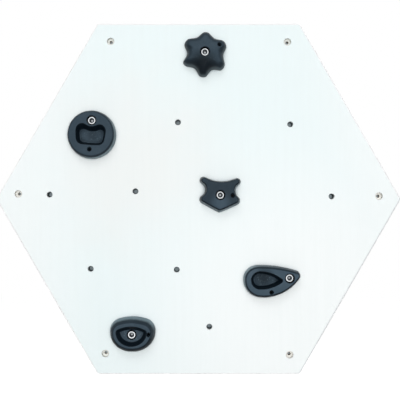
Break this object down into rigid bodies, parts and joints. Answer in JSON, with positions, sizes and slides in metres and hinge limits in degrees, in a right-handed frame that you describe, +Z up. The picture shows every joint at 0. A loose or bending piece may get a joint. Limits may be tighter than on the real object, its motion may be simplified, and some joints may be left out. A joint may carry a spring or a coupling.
{
  "type": "climbing wall panel",
  "caption": "Hexagonal climbing wall panel of white-painted plywood, with tee nuts in its back and bolted-on moulded climbing holds, some with finger pockets.",
  "frame": {"origin": "centre of the board's back face, which lies against the wall", "axes": "+X to the right seen from the front, towards a point of the hexagon; +Y into the wall; +Z up"},
  "size_m": [0.7974, 0.0473, 0.6928],
  "materials": {
    "painted_wood": "satin",
    "moulded_plastic": "matte",
    "bright_zinc": "satin",
    "dull_zinc": "satin"
  },
  "bodies": {
    "board": {"panel": "painted_wood", "tee_nut_01": "dull_zinc", "tee_nut_02": "dull_zinc", "tee_nut_03": "dull_zinc", "tee_nut_04": "dull_zinc", "tee_nut_05": "dull_zinc", "tee_nut_06": "dull_zinc", "tee_nut_07": "dull_zinc", "tee_nut_08": "dull_zinc", "tee_nut_09": "dull_zinc", "tee_nut_10": "dull_zinc", "tee_nut_11": "dull_zinc", "tee_nut_12": "dull_zinc", "tee_nut_13": "dull_zinc"},
    "star_hold": {"hold_star": "moulded_plastic", "washer_star": "dull_zinc"},
    "star_bolt": {"bolt_star": "bright_zinc"},
    "round_pocket_hold": {"hold_round_pocket": "moulded_plastic", "washer_round_pocket": "dull_zinc"},
    "round_pocket_bolt": {"bolt_round_pocket": "bright_zinc"},
    "five_point_hold": {"hold_five_point": "moulded_plastic", "washer_five_point": "dull_zinc"},
    "five_point_bolt": {"bolt_five_point": "bright_zinc"},
    "drop_pocket_hold": {"hold_drop_pocket": "moulded_plastic", "washer_drop_pocket": "dull_zinc"},
    "drop_pocket_bolt": {"bolt_drop_pocket": "bright_zinc"},
    "oval_pocket_hold": {"hold_oval_pocket": "moulded_plastic", "washer_oval_pocket": "dull_zinc"},
    "oval_pocket_bolt": {"bolt_oval_pocket": "bright_zinc"}
  },
  "joints": [
    {"name": "star_swivel", "type": "hinge", "parent": "board", "child": "star_hold", "pos_m": [0.0124, -0.0183, 0.2856], "axis": [0, -1, 0], "continuous": true},
    {"name": "star_bolt_turn", "type": "hinge", "parent": "board", "child": "star_bolt", "pos_m": [0.0124, -0.0183, 0.2856], "axis": [0, -1, 0], "continuous": true},
    {"name": "round_pocket_swivel", "type": "hinge", "parent": "board", "child": "round_pocket_hold", "pos_m": [-0.208, -0.0183, 0.1528], "axis": [0, -1, 0], "continuous": true},
    {"name": "round_pocket_bolt_turn", "type": "hinge", "parent": "board", "child": "round_pocket_bolt", "pos_m": [-0.208, -0.0183, 0.1528], "axis": [0, -1, 0], "continuous": true},
    {"name": "five_point_swivel", "type": "hinge", "parent": "board", "child": "five_point_hold", "pos_m": [0.0424, -0.0183, 0.0076], "axis": [0, -1, 0], "continuous": true},
    {"name": "five_point_bolt_turn", "type": "hinge", "parent": "board", "child": "five_point_bolt", "pos_m": [0.0424, -0.0183, 0.0076], "axis": [0, -1, 0], "continuous": true},
    {"name": "drop_pocket_swivel", "type": "hinge", "parent": "board", "child": "drop_pocket_hold", "pos_m": [0.1774, -0.0183, -0.1544], "axis": [0, -1, 0], "continuous": true},
    {"name": "drop_pocket_bolt_turn", "type": "hinge", "parent": "board", "child": "drop_pocket_bolt", "pos_m": [0.1774, -0.0183, -0.1544], "axis": [0, -1, 0], "continuous": true},
    {"name": "oval_pocket_swivel", "type": "hinge", "parent": "board", "child": "oval_pocket_hold", "pos_m": [-0.1306, -0.0183, -0.2652], "axis": [0, -1, 0], "continuous": true},
    {"name": "oval_pocket_bolt_turn", "type": "hinge", "parent": "board", "child": "oval_pocket_bolt", "pos_m": [-0.1306, -0.0183, -0.2652], "axis": [0, -1, 0], "continuous": true}
  ]
}
